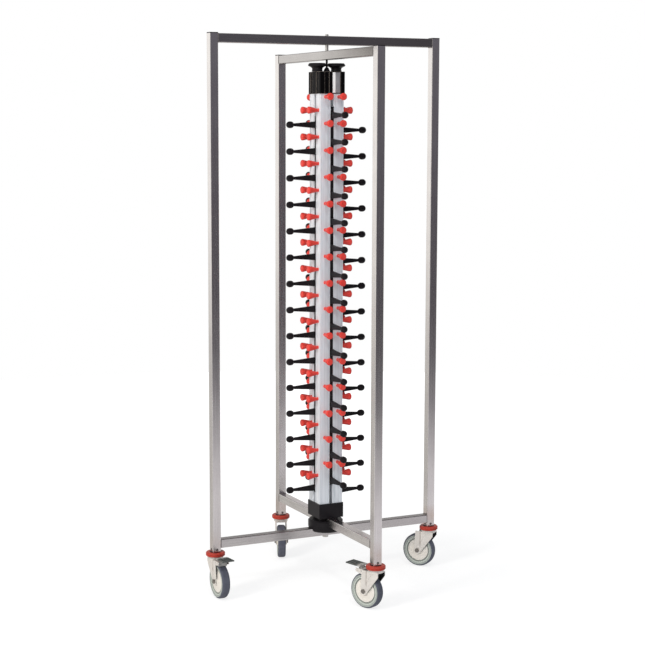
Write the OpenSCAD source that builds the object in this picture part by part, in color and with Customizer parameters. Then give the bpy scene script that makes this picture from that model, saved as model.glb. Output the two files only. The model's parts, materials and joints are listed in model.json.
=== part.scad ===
// Collapsible plate rack on casters.
// Two tube frames of different widths cross at a common upright axis and fold
// together about it. Four ridged columns stand on the narrower frame around that
// axis. Every face of the group carries fixed short pegs in two rows, and a
// sliding strip between them carries the long ball-ended pegs.
// Units are millimetres. Z is up, the origin is on the floor under the folding
// axis, X runs along the wider frame and Y along the narrower one.

/* [Frames] */
// Height of the wider frame above the floor
overall_h = 1586; // [1450:1:1750]
// Distance between the post centres of the wider frame
outer_span = 700; // [620:5:800]
// Narrower frame's post distance as a share of the wider one's
inner_span_share = 0.9; // [0.88:0.005:0.91]
// Side of the square tube
tube = 25; // [22:1:30]
// Wall of the square tube
tube_wall = 1.5; // [1:0.1:2.5]
// Clear height between the two top bars
top_gap = 17; // [12:1:26]
// Clear height between the two bottom bars
low_gap = 8; // [6:1:12]

/* [Columns] */
// Side of the square that the four columns fill
column_span = 72; // [68:1:84]
// Width of the slots between the columns
slot_w = 10.8; // [10:0.2:13]
// Wall of a column
column_wall = 2; // [1.8:0.1:2.6]
// Levels of pegs on every face
levels = 15; // [8:1:16]
// Height of the black foot block under the columns
block_h = 43; // [34:1:56]
// Height of the black housing on the columns
housing_h = 62; // [46:1:76]

/* [Pegs] */
// Length of a short peg
short_peg = 34; // [26:1:38]
// Diameter of a short peg's head
short_head_d = 20.4; // [16:0.2:21]
// Distance from the axis to the middle of a long peg's rounded end
long_reach = 115; // [100:1:140]
// Diameter of the rounded end
ball_d = 19; // [14:0.5:21]
// Length of the rounded end
ball_l = 23; // [21.5:0.5:26]
// How far the left strip's pegs sit under the short pegs
left_drop = 41; // [22:1:60]
// How far the right strip's pegs sit under the short pegs
right_drop = 56; // [22:1:60]
// How far the front strip's pegs sit under the short pegs
front_drop = 52; // [40:1:78]
// How far the back strip's pegs sit under the short pegs
back_drop = 74; // [40:1:78]

/* [Casters] */
// Diameter of the wheels
wheel_d = 100; // [85:1:115]
// Width of the tyres
wheel_w = 24; // [20:1:28]
// Distance the axle trails behind the swivel axis
trail = 30; // [28:1:38]
// Height of the bumper rings
ring_h = 12; // [10:1:16]
// Diameter of the bumper rings
ring_d = 55; // [48:1:58]
// Direction of the left caster
left_turn = -89; // [-180:1:180]
// Direction of the right caster
right_turn = 127; // [-180:1:180]
// Direction of the front caster
front_turn = 114; // [-180:1:180]
// Direction of the back caster
back_turn = -112; // [-180:1:180]

/* [Hidden] */
over = 1;                       // overrun of cutting shapes
slip = 0.05;                    // radial clearance of a turning fit
slide_gap = 0.2;                // clearance of a strip on each side
turn_gap = 0.3;                 // clearance between turning faces

// heights
swivel_stack = 16;              // from the top of the wheels to the bumper rings
caster_h = wheel_d + swivel_stack;
foot_z = caster_h + ring_h;     // lower ends of the posts
bar_rise = 11;
outer_bar_z = foot_z + bar_rise;
inner_bar_z = outer_bar_z + tube + low_gap;
block_z = inner_bar_z + tube;
block_top = block_z + block_h;
outer_top_z = overall_h - tube;
inner_top_z = outer_top_z - top_gap - tube;
knob_room = 33;
housing_top = inner_top_z - knob_room;
housing_z = housing_top - housing_h;

// frames
outer_r = outer_span / 2;
inner_r = outer_r * inner_span_share;
tube_round = 2;
cap_h = 2.5;
cap_plug = 14;

// bumper rings
ring_round_share = 0.2;
ring_groove_share = 0.45;
ring_groove = 1.4;

// pivots
low_bolt_r = 6;
low_head_r = 9.5;
low_head_h = 6.5;
top_pin_r = 3.5;
top_head_r = 5;
top_head_h = 5;
top_pin_reach = 5;
rod_r = 3;

// hub
hub_r = 51;
hub_drop = 10;
hub_disc_top = 9;
neck_w = 54;
hub_chamfer = 2;

// columns
column_w = (column_span - slot_w) / 2;
column_c = (column_span + slot_w) / 4;
shell = 3;
block_round = 1.5;
housing_round = 2.5;
floor_t = 6;
column_z = block_z + floor_t;
column_top = housing_top - floor_t;
groove_w = 1.6;
groove_d = 0.7;
groove_near = 9;
groove_far = 12.2;
guide_in = 12;
guide_w = 3.4;
guide_d = 1.2;
face_inset = 1;                 // how far a strip's face lies behind the columns' faces
strip_depth_share = 0.236;      // depth of a strip as a share of the columns' square
spine_gap = 1;                  // clearance between the core and a strip's back
strip_face = column_span / 2 - face_inset;
strip_back = strip_face - column_span * strip_depth_share;
spine_r = strip_back - spine_gap;
strip_w = slot_w - 2 * slide_gap;
rib_d = guide_d - slide_gap;
rib_w = guide_w - 2 * slide_gap;

// pegs
head_clear = 8.6;
low_rise = 84;
pitch = (housing_z - head_clear - block_top - low_rise) / (levels - 0.5);
side_low = block_top + low_rise;
front_low = side_low + pitch / 2;
run = (levels - 1) * pitch;
short_base_r = 5.2;
short_neck_r = 4.3;
short_neck_x = 2.5;
short_flare_share = 0.8;        // where the flare ends
short_rim_share = 0.88;         // where the head is widest
short_round_share = 0.97;       // where its rounded end starts
fin_r = 10;
fin_tip_r = 3.2;
fin_t = 7;
strip_end = 24;
strip_foot = 14;
side_drop_high = 12;            // highest and lowest place of a side strip, counted
side_drop_low = 66;             // down from the short pegs

// knobs
knob_inset = 6;
knob_gap = 1.5;                 // clearance between a knob and the hanger rod
knob_neck_share = 0.627;
knob_waist_share = 0.569;
knob_x = column_span / 2 - knob_inset;
knob_r = knob_x - rod_r - knob_gap;
knob_neck_r = knob_r * knob_neck_share;
knob_waist_r = knob_r * knob_waist_share;
knob_neck_h = 13;
knob_rim_h = 4;
knob_h = 25;
knob_lip = 3;
knob_step = 1.2;
screw_r = 3;
screw_hold = 6;                 // what is left of the screw in a strip at its lowest
screw_spare = 4;                // free bore under the screw at the strip's highest
screw_end = side_low + run - side_drop_low + strip_end - screw_hold;
screw_bore = side_drop_low - side_drop_high + screw_hold + screw_spare;
cone_gap = 3;                   // clearance between the cone's foot and a knob's neck
cone_h = 12;
cone_r = knob_x - knob_neck_r - cone_gap;
cone_top_r = 4.5;
rod_hold = 3;                   // how far the rod stands in the top bar

// label plate
plate_w = 23;
plate_c = 11.5;
plate_t = 0.8;
plate_rim = 2.5;
plate_gap = 0.5;
flute_w = 14;
flute_d = 1.6;
flute_c = 18;

// casters
wheel_r = wheel_d / 2;
tyre_t = 10;
rim_r = wheel_r - tyre_t;
axle_r = 4;
nut_r = 6.5;
nut_h = 4;
boss_r = 11;
boss_foot_r = 13;
boss_rise = 2.3;
disc_edge = 8;                  // radial width from the disc to the rim's seat
disc_in = 2.5;
ring_in = 4;                    // depth of the ring groove in the wheel's face
ring_slope = 1.5;
ring_w = 2.5;
rim_w = 3;
rim_in = 1.5;
bead_w = 3;
bead_in = 1;
tread_round = 4;
tread_step = 1.2;
tread_drop = 2.4;
tread_edge = 5.5;
boss_half = wheel_w / 2 + boss_rise;
fork_in = boss_half + slide_gap;
fork_t = 2.5;
fork_out = fork_in + fork_t;
fork_end_r = 11;
head_drop = 9;
head_z = caster_h - head_drop;
head_t = 3;
swivel_r = 21;
race_t = 4.2;
race_over = 1;
swivel_low = caster_h - race_t - slide_gap;
race_z = swivel_low + slide_gap;
pin_r = 6;
pin_washer_r = 9;
pin_washer_h = 3.5;
fork_lead = 20;
lead_drop = 10;
tail_reach = 6;
tail_in = 2;
fork_tail = trail + tail_reach;
crown_in = 6;
rib_x = 2;                      // pressed rib of a fork's cheek
rib_across = 6;
rib_drop = 4;
rib_rise = 17;
rib_t = 0.8;
ear_reach = 28;                 // ears that carry the brake pedal
ear_root = 10;
ear_cut = 6;
ear_step = 1;
ear_slope = 5;
ear_over = 2;
ear_sink = 2;
ear_x = trail + ear_reach;
ear_top = head_z + head_t + ear_over;
ear_low = wheel_d - ear_sink;
rivets = [14, 22];              // rivets behind the axle
rivet_r = 2;
rivet_h = 0.8;
rivet_drop = 5;
brake_reach = 8;
brake_rise = 6.5;
brake_x = trail + brake_reach;
brake_z = wheel_d + brake_rise;
brake_pin_r = 2.5;
arm_gap = 1;                    // clearance of the pedal's arm in the fork
arm_back = 5;
arm_front = 14;
arm_t = 8;
shoe_deep = 10.5;               // reach of the brake shoe under the pedal's pin
shoe_gap = 2.6;                 // clearance between the shoe and the tyre
neck_x = 6;
neck_l = 10;
neck_in = 1.5;
tread_reach = 13;
tread_x = trail + tread_reach;
tread_l = 50;
tread_w = 35;
tread_t = 3.5;
tread_rise = 1;
tread_z = caster_h + tread_rise;
tread_tilt = 3;
bar_count = 5;                  // ribs on the tread
bar_in = 4;
bar_w = 2.2;
bar_t = 1.3;
bar_end = 3;

steel = [0.78, 0.76, 0.74];
bright = [0.86, 0.85, 0.84];
alu = [0.82, 0.85, 0.9];
black = [0.1, 0.09, 0.11];
red = [0.86, 0.17, 0.14];
ring_red = [0.72, 0.24, 0.19];
rubber = [0.36, 0.37, 0.42];
cream = [0.9, 0.88, 0.84];
pedal_grey = [0.33, 0.35, 0.34];
label_grey = [0.75, 0.76, 0.79];

// shapes that several nodes share

module rounded_square(side, round_r) {
    square([side, side - 2 * round_r], center = true);
    square([side - 2 * round_r, side], center = true);
    for (sx = [-1, 1], sy = [-1, 1])
        translate([sx * (side / 2 - round_r), sy * (side / 2 - round_r)])
            circle(r = round_r);
}

module tube_profile() {
    difference() {
        rounded_square(tube, tube_round);
        square(tube - 2 * tube_wall, center = true);
    }
}

module upright(low, high) {
    translate([0, 0, low])
        linear_extrude(height = high - low) tube_profile();
}

// a bar along X between two post faces, with its underside at z
module bar_x(reach, z) {
    half = reach - tube / 2;
    translate([-half, 0, z + tube / 2])
        rotate([0, 90, 0])
            linear_extrude(height = 2 * half) tube_profile();
}

module bar_y(reach, z) {
    rotate([0, 0, 90]) bar_x(reach, z);
}

module post_plug(z) {
    inside = tube - 2 * tube_wall;
    translate([0, 0, z])
        linear_extrude(height = cap_h) rounded_square(tube, tube_round);
    translate([0, 0, z - cap_plug])
        linear_extrude(height = cap_plug + over / 10) square(inside, center = true);
}

module bumper_ring() {
    r = ring_d / 2;
    step = ring_h * ring_round_share;
    mid = ring_h * ring_groove_share;
    translate([0, 0, caster_h])
        rotate_extrude()
            polygon([[pin_r, 0], [r - step, 0], [r, step], [r, mid - step / 2],
                [r - ring_groove, mid], [r, mid + step / 2], [r, ring_h - step],
                [r - step, ring_h], [pin_r, ring_h]]);
}

module caster_stem() {
    inside = tube - 2 * tube_wall;
    pin_low = head_z - pin_washer_h - slide_gap;
    translate([0, 0, foot_z])
        linear_extrude(height = cap_plug) square(inside, center = true);
    translate([0, 0, pin_low]) cylinder(r = pin_r, h = foot_z - pin_low + over / 10);
    translate([0, 0, pin_low]) cylinder(r = pin_washer_r, h = pin_washer_h);
    translate([0, 0, race_z]) cylinder(r = swivel_r + race_over, h = caster_h - race_z);
}

// tangent point on a circle at c, seen from p, on the side given by s
function tangent_point(p, c, r, s) =
    let (dx = c[0] - p[0], dy = c[1] - p[1], d = sqrt(dx * dx + dy * dy),
        a = atan2(dy, dx) + s * asin(r / d), l = sqrt(d * d - r * r))
    [p[0] + l * cos(a), p[1] + l * sin(a)];

module cheek_outline() {
    lead = [-fork_lead, head_z - lead_drop];
    tail = [fork_tail, head_z];
    axle = [trail, wheel_r];
    polygon([[-fork_lead, head_z + head_t], lead,
        tangent_point(lead, axle, fork_end_r, -1), axle,
        tangent_point(tail, axle, fork_end_r, 1), tail,
        [fork_tail, head_z + head_t]]);
    translate(axle) circle(r = fork_end_r);
}

module cheek_rib() {
    high = head_z - rib_drop;
    low = wheel_r + rib_rise;
    polygon([[rib_x, high], [rib_x + rib_across, high], [trail + rib_x, low],
        [trail + rib_x - rib_across, low]]);
}

module ear_outline() {
    polygon([[fork_tail - ear_root + tail_in, head_z + head_t - over],
        [fork_tail - ear_root + tail_in, ear_low - ear_cut],
        [fork_tail + ear_step, ear_low], [ear_x, ear_low + ear_slope],
        [ear_x, ear_top], [fork_tail + ear_step, ear_top]]);
}

// a plate of the fork, t thick, standing at y
module side_plate(y, t) {
    translate([0, y + t, 0]) rotate([90, 0, 0]) linear_extrude(height = t) children();
}

module fork(braked) {
    difference() {
        union() {
            side_plate(fork_in, fork_t) cheek_outline();
            side_plate(-fork_out, fork_t) cheek_outline();
            side_plate(fork_out - over / 10, rib_t + over / 10) cheek_rib();
            side_plate(-fork_out - rib_t, rib_t + over / 10) cheek_rib();
            translate([-fork_lead, -fork_out, head_z])
                cube([fork_lead + trail - crown_in, 2 * fork_out, head_t]);
            translate([0, 0, head_z])
                cylinder(r = swivel_r, h = swivel_low - head_z);
            if (braked) {
                side_plate(fork_in, fork_t) ear_outline();
                side_plate(-fork_out, fork_t) ear_outline();
                for (x = rivets) {
                    translate([trail + x, fork_out, ear_top - rivet_drop])
                        rotate([-90, 0, 0]) cylinder(r = rivet_r, h = rivet_h);
                    translate([trail + x, -fork_out, ear_top - rivet_drop])
                        rotate([90, 0, 0]) cylinder(r = rivet_r, h = rivet_h);
                }
            }
        }
        translate([0, 0, head_z - over])
            cylinder(r = pin_r + slip, h = swivel_low - head_z + 2 * over);
        translate([trail, fork_out + over, wheel_r])
            rotate([90, 0, 0]) cylinder(r = axle_r, h = 2 * (fork_out + over));
        if (braked)
            translate([brake_x, fork_out + over, brake_z])
                rotate([90, 0, 0])
                    cylinder(r = brake_pin_r + slip, h = 2 * (fork_out + over));
    }
}

module axle() {
    translate([trail, fork_out, wheel_r])
        rotate([90, 0, 0]) cylinder(r = axle_r, h = 2 * fork_out);
    for (s = [0, 180])
        translate([trail, 0, wheel_r])
            rotate([0, 0, s]) translate([0, fork_out + nut_h, 0])
                rotate([90, 0, 0])
                    linear_extrude(height = nut_h)
                        polygon([for (i = [0:5]) nut_r * [cos(60 * i), sin(60 * i)]]);
}

module wheel_hub() {
    w = wheel_w / 2;
    b = axle_r + slip;
    disc_r = rim_r - disc_edge;
    groove_r = disc_r + ring_slope;
    half = [[b, boss_half], [boss_r, boss_half], [boss_foot_r, w - disc_in / 4],
        [disc_r, w - disc_in], [groove_r, w - ring_in], [groove_r + ring_w, w - ring_in],
        [rim_r - rim_w, w - rim_in], [rim_r, w - rim_in]];
    translate([trail, 0, wheel_r])
        rotate([90, 0, 0])
            rotate_extrude()
                polygon(concat(half,
                    [for (i = [len(half) - 1:-1:0]) [half[i][0], -half[i][1]]]));
}

module wheel_tyre() {
    w = wheel_w / 2;
    translate([trail, 0, wheel_r])
        rotate([90, 0, 0])
            rotate_extrude()
                polygon([[rim_r, w - bead_in], [rim_r + bead_w, w],
                    [wheel_r - tread_round, w], [wheel_r - tread_step, w - tread_drop],
                    [wheel_r, w - tread_edge], [wheel_r, tread_edge - w],
                    [wheel_r - tread_step, tread_drop - w], [wheel_r - tread_round, -w],
                    [rim_r + bead_w, -w], [rim_r, bead_in - w]]);
}

module brake_pedal() {
    arm = fork_in - arm_gap;
    bar_pitch = (tread_l - 2 * bar_in - bar_w) / (bar_count - 1);
    translate([brake_x, fork_out, brake_z])
        rotate([90, 0, 0]) cylinder(r = brake_pin_r, h = 2 * fork_out);
    difference() {
        translate([brake_x - arm_back, -arm, brake_z - shoe_deep])
            cube([arm_back + arm_front, 2 * arm, shoe_deep + arm_t / 2]);
        translate([trail, arm + over, wheel_r])
            rotate([90, 0, 0]) cylinder(r = wheel_r + shoe_gap, h = 2 * (arm + over));
    }
    translate([brake_x + neck_x, -arm / 2, brake_z])
        cube([neck_l, arm, tread_z - brake_z + neck_in]);
    translate([tread_x, 0, tread_z]) rotate([0, -tread_tilt, 0]) {
        translate([0, -tread_w / 2, 0]) cube([tread_l, tread_w, tread_t]);
        for (i = [0:bar_count - 1])
            translate([bar_in + i * bar_pitch, bar_end - tread_w / 2, tread_t - over / 10])
                cube([bar_w, tread_w - 2 * bar_end, bar_t]);
    }
}

module at_left()  { translate([-outer_r, 0, 0]) rotate([0, 0, left_turn]) children(); }
module at_right() { translate([outer_r, 0, 0]) rotate([0, 0, right_turn]) children(); }
module at_front() { translate([0, -inner_r, 0]) rotate([0, 0, front_turn]) children(); }
module at_back()  { translate([0, inner_r, 0]) rotate([0, 0, back_turn]) children(); }

// one column in the corner (+X, +Y), seen from above
module column_profile() {
    difference() {
        translate([column_c, column_c]) square(column_w, center = true);
        translate([column_c, column_c])
            square(column_w - 2 * column_wall, center = true);
        for (t = [-groove_far, -groove_near, groove_near, groove_far]) {
            translate([column_span / 2 - groove_d, column_c + t - groove_w / 2])
                square([groove_d + over, groove_w]);
            translate([column_c + t - groove_w / 2, column_span / 2 - groove_d])
                square([groove_w, groove_d + over]);
        }
        translate([column_span / 2 - guide_in - guide_w / 2, slot_w / 2 - over])
            square([guide_w, guide_d + over]);
        translate([slot_w / 2 - over, column_span / 2 - guide_in - guide_w / 2])
            square([guide_d + over, guide_w]);
    }
}

module column(sx, sy) {
    translate([0, 0, column_z])
        linear_extrude(height = column_top - column_z)
            mirror([sx < 0 ? 1 : 0, 0]) mirror([0, sy < 0 ? 1 : 0]) column_profile();
}

// short peg along +X with its base at x = 0
module short_peg_shape() {
    r = short_head_d / 2;
    rotate([0, 90, 0])
        rotate_extrude()
            polygon([[0, 0], [short_base_r, 0], [short_neck_r, short_neck_x],
                [r * short_round_share, short_peg * short_flare_share],
                [r, short_peg * short_rim_share],
                [r * short_round_share, short_peg * (short_rim_share + 1) / 2],
                [r * short_rim_share, short_peg * short_round_share],
                [r * short_flare_share * short_rim_share, short_peg],
                [0, short_peg]]);
}

module short_pegs(turn, low) {
    rotate([0, 0, turn])
        for (i = [0:levels - 1], s = [-1, 1])
            translate([column_span / 2, s * column_c, low + i * pitch])
                short_peg_shape();
}

// strip on the +X side, with its lowest long peg at z = low
module strip_shape(turn, low, bored) {
    len = run + strip_foot + strip_end;
    rotate([0, 0, turn]) translate([0, 0, low - strip_foot])
        difference() {
            union() {
                translate([strip_back, -strip_w / 2, 0])
                    cube([strip_face - strip_back, strip_w, len]);
                translate([column_span / 2 - guide_in - rib_w / 2, -strip_w / 2 - rib_d, 0])
                    cube([rib_w, strip_w + 2 * rib_d, len]);
            }
            if (bored)
                translate([knob_x, 0, len - screw_bore])
                    cylinder(r = screw_r + slip, h = screw_bore + over);
        }
}

// rounded end of a long peg, along X
module peg_end() {
    half = (ball_l - ball_d) / 2;
    for (x = [-half, half]) translate([x, 0, 0]) sphere(d = ball_d);
    translate([-half, 0, 0]) rotate([0, 90, 0]) cylinder(d = ball_d, h = 2 * half);
}

module long_pegs(turn, low) {
    stem = long_reach - strip_face;
    rotate([0, 0, turn]) {
        intersection() {
            for (i = [0:levels - 1])
                translate([strip_face, 0, low + i * pitch])
                    rotate([0, 90, 0])
                        cylinder(r1 = fin_r, r2 = fin_tip_r, h = stem);
            translate([strip_face, -fin_t / 2, low - fin_r - over])
                cube([stem, fin_t, run + 2 * (fin_r + over)]);
        }
        for (i = [0:levels - 1])
            translate([long_reach, 0, low + i * pitch]) peg_end();
    }
}

module knob(turn) {
    rotate([0, 0, turn]) translate([knob_x, 0, 0]) {
        translate([0, 0, housing_top + turn_gap])
            rotate_extrude()
                polygon([[0, 0], [knob_neck_r, 0], [knob_waist_r, knob_neck_h * 0.55],
                    [knob_neck_r, knob_neck_h * 0.85],
                    [knob_r - knob_lip, knob_neck_h + knob_lip - knob_step],
                    [knob_r, knob_neck_h + knob_lip],
                    [knob_r, knob_neck_h + knob_lip + knob_rim_h],
                    [knob_r - knob_lip, knob_h - knob_step],
                    [0, knob_h - knob_step]]);
        translate([0, 0, screw_end])
            cylinder(r = screw_r, h = housing_top + turn_gap - screw_end + over);
    }
}

// wider frame

module outer_post_left() {
    color(steel) translate([-outer_r, 0, 0]) upright(foot_z, overall_h);
}

module outer_post_right() {
    color(steel) translate([outer_r, 0, 0]) upright(foot_z, overall_h);
}

module outer_top_bar() {
    color(steel) difference() {
        bar_x(outer_r, outer_top_z);
        translate([0, 0, outer_top_z - over])
            cylinder(r = top_pin_r, h = tube + 2 * over);
    }
}

module outer_bottom_bar() {
    color(steel) difference() {
        bar_x(outer_r, outer_bar_z);
        translate([0, 0, outer_bar_z - over])
            cylinder(r = low_bolt_r, h = tube + 2 * over);
    }
}

module outer_end_caps() {
    color(black) for (s = [-1, 1])
        translate([s * outer_r, 0, 0]) post_plug(overall_h);
}

module outer_bumper_rings() {
    color(ring_red) for (s = [-1, 1]) translate([s * outer_r, 0, 0]) bumper_ring();
}

module outer_caster_stems() {
    color(bright) for (s = [-1, 1]) translate([s * outer_r, 0, 0]) caster_stem();
}

// disc under the gap between the bottom bars, notched over the wider frame's bar
module lower_hub() {
    top = inner_bar_z - low_gap / 2 - turn_gap;
    low = outer_bar_z + tube - hub_drop;
    color(black) difference() {
        translate([0, 0, low])
            rotate_extrude()
                polygon([[0, 0], [hub_r - 3 * hub_chamfer, 0],
                    [hub_r - hub_chamfer, hub_chamfer * 2], [hub_r, top - low],
                    [0, top - low]]);
        translate([-hub_r - over, -tube / 2, low - over])
            cube([2 * (hub_r + over), tube, hub_drop + over]);
        translate([0, 0, low]) cylinder(r = low_bolt_r, h = top - low + over);
    }
}

module pivot_bolt() {
    color(bright) {
        translate([0, 0, outer_bar_z - low_head_h])
            linear_extrude(height = low_head_h)
                polygon([for (i = [0:5]) low_head_r * [cos(60 * i), sin(60 * i)]]);
        translate([0, 0, outer_bar_z - over / 10])
            cylinder(r = low_bolt_r, h = column_z - outer_bar_z);
    }
}

module pivot_pin() {
    color(bright) {
        translate([0, 0, overall_h]) cylinder(r = top_head_r, h = top_head_h);
        translate([0, 0, inner_top_z + tube - tube_wall - top_pin_reach])
            cylinder(r = top_pin_r,
                h = outer_top_z - inner_top_z + tube_wall + top_pin_reach + over / 10);
    }
}

module pivot_spacer() {
    color(bright) translate([0, 0, inner_top_z + tube + turn_gap])
        difference() {
            cylinder(r = top_head_r, h = top_gap - turn_gap);
            translate([0, 0, -over]) cylinder(r = top_pin_r, h = top_gap + over);
        }
}

// narrower frame with the column group

module inner_post_front() {
    color(steel) translate([0, -inner_r, 0]) upright(foot_z, inner_top_z + tube);
}

module inner_post_back() {
    color(steel) translate([0, inner_r, 0]) upright(foot_z, inner_top_z + tube);
}

module inner_top_bar() {
    color(steel) difference() {
        bar_y(inner_r, inner_top_z);
        translate([0, 0, inner_top_z + tube / 2])
            cylinder(r = top_pin_r + slip, h = tube);
        translate([0, 0, inner_top_z - over])
            cylinder(r = rod_r, h = tube / 2);
    }
}

module inner_bottom_bar() {
    color(steel) difference() {
        bar_y(inner_r, inner_bar_z);
        translate([0, 0, inner_bar_z - over])
            cylinder(r = low_bolt_r + slip, h = tube + 2 * over);
    }
}

module inner_end_caps() {
    color(black) for (s = [-1, 1])
        translate([0, s * inner_r, 0]) post_plug(inner_top_z + tube);
}

module inner_bumper_rings() {
    color(ring_red) for (s = [-1, 1]) translate([0, s * inner_r, 0]) bumper_ring();
}

module inner_caster_stems() {
    color(bright) for (s = [-1, 1]) translate([0, s * inner_r, 0]) caster_stem();
}

// disc and square neck, notched over the narrower frame's bar
module upper_hub() {
    low = inner_bar_z - low_gap / 2;
    disc_h = block_z - hub_disc_top - low;
    color(black) difference() {
        union() {
            translate([0, 0, low])
                rotate_extrude()
                    polygon([[0, 0], [hub_r, 0], [hub_r, disc_h - 2 * hub_chamfer],
                        [hub_r - 2 * hub_chamfer, disc_h], [0, disc_h]]);
            translate([-neck_w / 2, -neck_w / 2, low])
                cube([neck_w, neck_w, block_z - low]);
        }
        translate([-tube / 2, -hub_r - over, inner_bar_z])
            cube([tube, 2 * (hub_r + over), tube + over]);
        translate([0, 0, low - over])
            cylinder(r = low_bolt_r + slip, h = tube + 2 * over);
    }
}

module base_block() {
    side = column_span + 2 * shell;
    color(black) difference() {
        translate([0, 0, block_z])
            linear_extrude(height = block_h) rounded_square(side, block_round);
        translate([-column_span / 2, -column_span / 2, column_z])
            cube([column_span, column_span, block_h]);
        translate([0, 0, block_z - over])
            cylinder(r = low_bolt_r + slip, h = floor_t + 2 * over);
    }
}

module column_left_front()  { color(alu) column(-1, -1); }
module column_right_front() { color(alu) column(1, -1); }
module column_left_back()   { color(alu) column(-1, 1); }
module column_right_back()  { color(alu) column(1, 1); }

// cross-shaped core that the columns' inner corners rest on
module spine() {
    color(black) translate([0, 0, column_z])
        linear_extrude(height = column_top - column_z) {
            square([2 * spine_r, slot_w], center = true);
            square([slot_w, 2 * spine_r], center = true);
        }
}

module top_housing() {
    side = column_span + 2 * shell;
    color(black) difference() {
        translate([0, 0, housing_z])
            linear_extrude(height = housing_h)
                difference() {
                    rounded_square(side, housing_round);
                    for (a = [0, 90, 180, 270]) rotate(a)
                        for (t = [-flute_c, flute_c])
                            translate([side / 2 - flute_d, t - flute_w / 2])
                                square([flute_d + over, flute_w]);
                    translate([plate_c - plate_w / 2 - plate_gap, -side / 2 - over])
                        square([plate_w + 2 * plate_gap, flute_d + over]);
                }
        translate([-column_span / 2, -column_span / 2, housing_z - over])
            cube([column_span, column_span, housing_h - floor_t + over]);
        for (s = [-1, 1])
            translate([s * knob_x, 0, column_top - over])
                cylinder(r = screw_r + slip, h = floor_t + 2 * over);
    }
}

// bare plate in a flat recess of the front face
module label_plate() {
    side = column_span + 2 * shell;
    color(label_grey)
        translate([plate_c - plate_w / 2, flute_d - side / 2 - plate_t, housing_z + plate_rim])
            cube([plate_w, plate_t, housing_h - 2 * plate_rim]);
}

module hanger_rod() {
    color(black) {
        translate([0, 0, housing_top])
            cylinder(r1 = cone_r, r2 = cone_top_r, h = cone_h);
        translate([0, 0, housing_top + cone_h - over / 10])
            cylinder(r = rod_r, h = knob_room - cone_h + tube_wall + rod_hold);
    }
}

module short_pegs_right() { color(red) short_pegs(0, side_low); }
module short_pegs_left()  { color(red) short_pegs(180, side_low); }
module short_pegs_back()  { color(red) short_pegs(90, front_low); }
module short_pegs_front() { color(red) short_pegs(-90, front_low); }

// sliding strips and their knobs

module strip_right() { color(black) strip_shape(0, side_low - right_drop, true); }
module strip_left()  { color(black) strip_shape(180, side_low - left_drop, true); }
module strip_back()  { color(black) strip_shape(90, front_low - back_drop, false); }
module strip_front() { color(black) strip_shape(-90, front_low - front_drop, false); }

module long_pegs_right() { color(black) long_pegs(0, side_low - right_drop); }
module long_pegs_left()  { color(black) long_pegs(180, side_low - left_drop); }
module long_pegs_back()  { color(black) long_pegs(90, front_low - back_drop); }
module long_pegs_front() { color(black) long_pegs(-90, front_low - front_drop); }

module knob_right() { color(black) knob(0); }
module knob_left()  { color(black) knob(180); }

// casters

module fork_left()  { color(bright) at_left() fork(true); }
module fork_right() { color(bright) at_right() fork(false); }
module fork_front() { color(bright) at_front() fork(true); }
module fork_back()  { color(bright) at_back() fork(false); }

module axle_left()  { color(bright) at_left() axle(); }
module axle_right() { color(bright) at_right() axle(); }
module axle_front() { color(bright) at_front() axle(); }
module axle_back()  { color(bright) at_back() axle(); }

module hub_left()  { color(cream) at_left() wheel_hub(); }
module hub_right() { color(cream) at_right() wheel_hub(); }
module hub_front() { color(cream) at_front() wheel_hub(); }
module hub_back()  { color(cream) at_back() wheel_hub(); }

module tyre_left()  { color(rubber) at_left() wheel_tyre(); }
module tyre_right() { color(rubber) at_right() wheel_tyre(); }
module tyre_front() { color(rubber) at_front() wheel_tyre(); }
module tyre_back()  { color(rubber) at_back() wheel_tyre(); }

module pedal_left()  { color(pedal_grey) at_left() brake_pedal(); }
module pedal_front() { color(pedal_grey) at_front() brake_pedal(); }

outer_post_left();
outer_post_right();
outer_top_bar();
outer_bottom_bar();
outer_end_caps();
lower_hub();
pivot_bolt();
pivot_pin();
pivot_spacer();
outer_bumper_rings();
outer_caster_stems();
inner_post_front();
inner_post_back();
inner_top_bar();
inner_bottom_bar();
inner_end_caps();
inner_bumper_rings();
inner_caster_stems();
upper_hub();
base_block();
column_left_front();
column_right_front();
column_left_back();
column_right_back();
spine();
top_housing();
label_plate();
hanger_rod();
short_pegs_left();
short_pegs_right();
short_pegs_front();
short_pegs_back();
strip_left();
strip_right();
strip_front();
strip_back();
long_pegs_left();
long_pegs_right();
long_pegs_front();
long_pegs_back();
knob_left();
knob_right();
fork_left();
fork_right();
fork_front();
fork_back();
axle_left();
axle_right();
axle_front();
axle_back();
hub_left();
hub_right();
hub_front();
hub_back();
tyre_left();
tyre_right();
tyre_front();
tyre_back();
pedal_left();
pedal_front();
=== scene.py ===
import json
import math

import bmesh
import bpy
from mathutils import Matrix, Vector


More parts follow.
